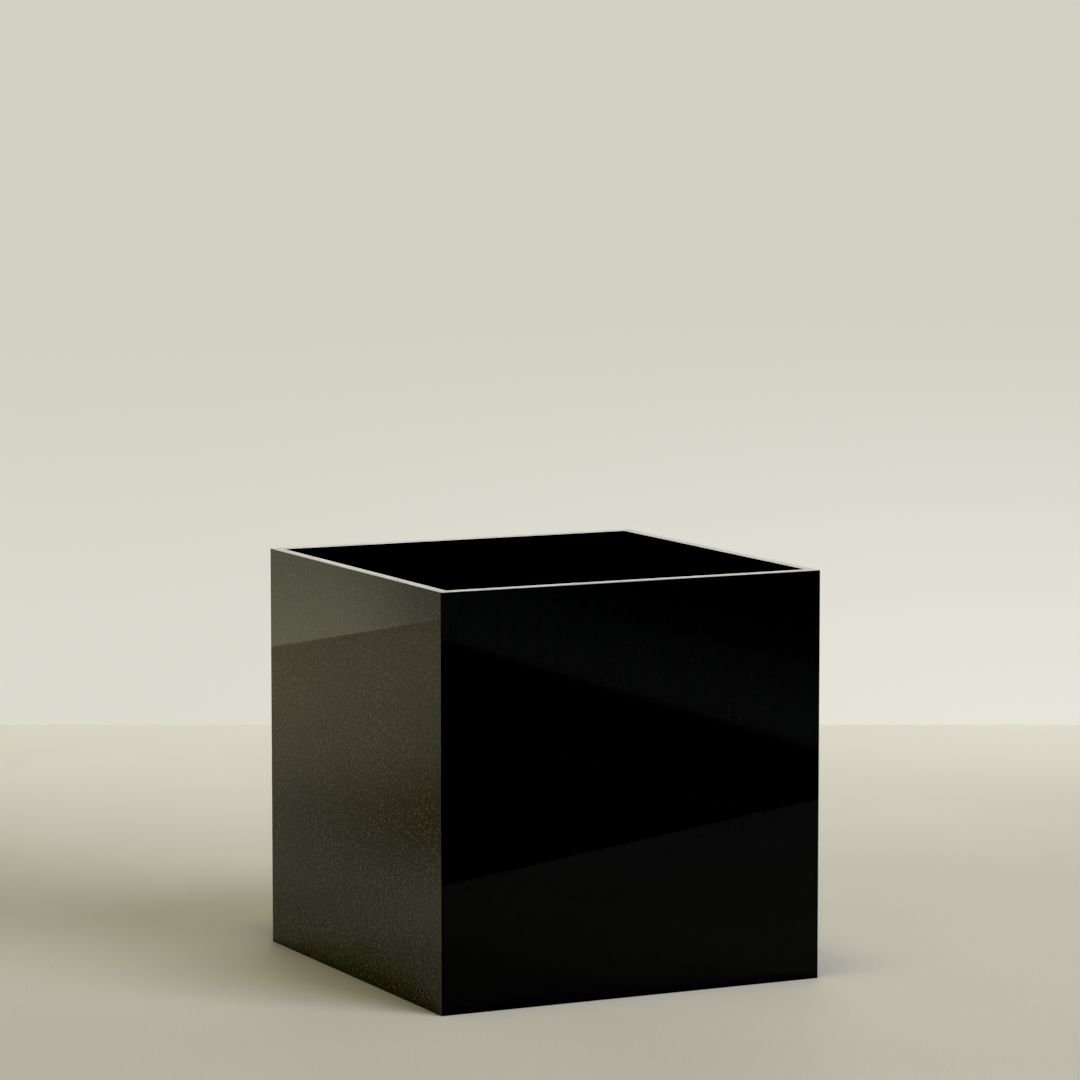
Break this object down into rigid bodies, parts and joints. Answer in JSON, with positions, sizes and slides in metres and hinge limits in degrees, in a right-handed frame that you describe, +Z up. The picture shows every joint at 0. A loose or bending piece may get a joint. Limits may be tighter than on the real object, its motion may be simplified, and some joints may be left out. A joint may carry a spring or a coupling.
{
  "type": "acrylic display cube",
  "caption": "Open-topped display cube of thick gloss black acrylic sheet, with mitred corners and a pale machined rim.",
  "frame": {"origin": "on the surface the cube stands on, below the middle of the box", "axes": "+Z up, out of the open top; the front wall faces -Y and the right wall faces +X"},
  "size_m": [0.45, 0.45, 0.446],
  "materials": {
    "black_acrylic": "polished gloss black cast acrylic; sawn and scraped sheet edges are a pale satin grey",
    "acrylic_cement": "black acrylic cement, cured glossy"
  },
  "bodies": {
    "root": {"base_panel": "black_acrylic", "front_panel": "black_acrylic", "right_panel": "black_acrylic", "rear_panel": "black_acrylic", "left_panel": "black_acrylic", "front_right_corner_joint": "acrylic_cement", "rear_right_corner_joint": "acrylic_cement", "rear_left_corner_joint": "acrylic_cement", "front_left_corner_joint": "acrylic_cement", "front_base_joint": "acrylic_cement", "right_base_joint": "acrylic_cement", "rear_base_joint": "acrylic_cement", "left_base_joint": "acrylic_cement"}
  },
  "joints": []
}
